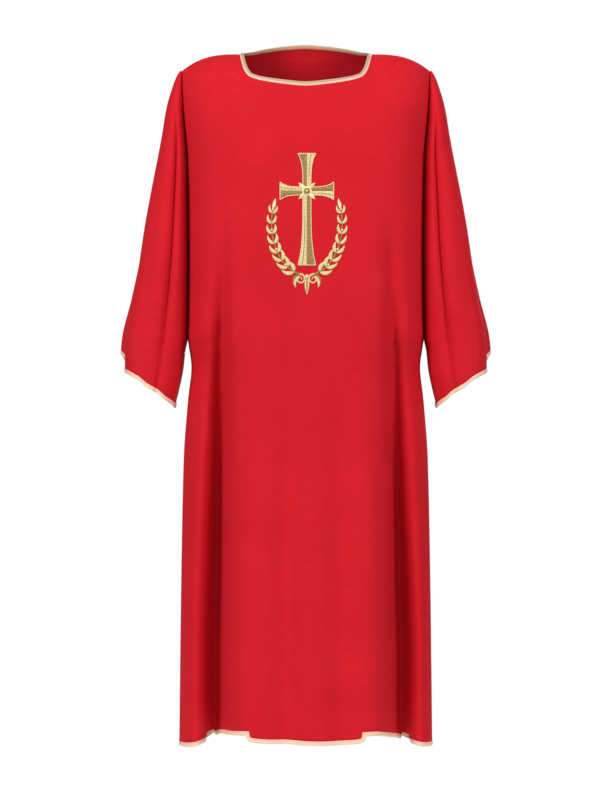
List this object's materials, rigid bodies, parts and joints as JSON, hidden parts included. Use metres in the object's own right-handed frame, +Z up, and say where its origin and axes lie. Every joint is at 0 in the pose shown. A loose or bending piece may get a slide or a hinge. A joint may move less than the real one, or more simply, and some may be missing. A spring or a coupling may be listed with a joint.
{
  "type": "dalmatic",
  "caption": "Red wide-sleeved liturgical tunic with bound edges and gold chest embroidery, holding its worn form with nobody in it.",
  "frame": {"origin": "midway between the neck ends of the two shoulder seams, where the wearer's shoulders hold the garment up", "axes": "+Z up, the front faces -Y, +X to the wearer's left"},
  "size_m": [0.6754, 0.2706, 1.2776],
  "materials": {
    "red_cloth": "matt fine polyester gabardine",
    "satin_binding": "pale gold satin",
    "gold_embroidery": "lustrous rayon thread, satin stitch"
  },
  "bodies": {
    "root": {"front_panel": "red_cloth", "back_panel": "red_cloth", "sleeve_left": "red_cloth", "sleeve_right": "red_cloth", "neck_binding": "satin_binding", "cuff_binding_left": "satin_binding", "cuff_binding_right": "satin_binding", "hem_binding_front": "satin_binding", "hem_binding_back": "satin_binding", "emblem_upright": "gold_embroidery", "emblem_arm_left": "gold_embroidery", "emblem_arm_right": "gold_embroidery", "emblem_spray_left": "gold_embroidery", "emblem_spray_right": "gold_embroidery"}
  },
  "joints": []
}
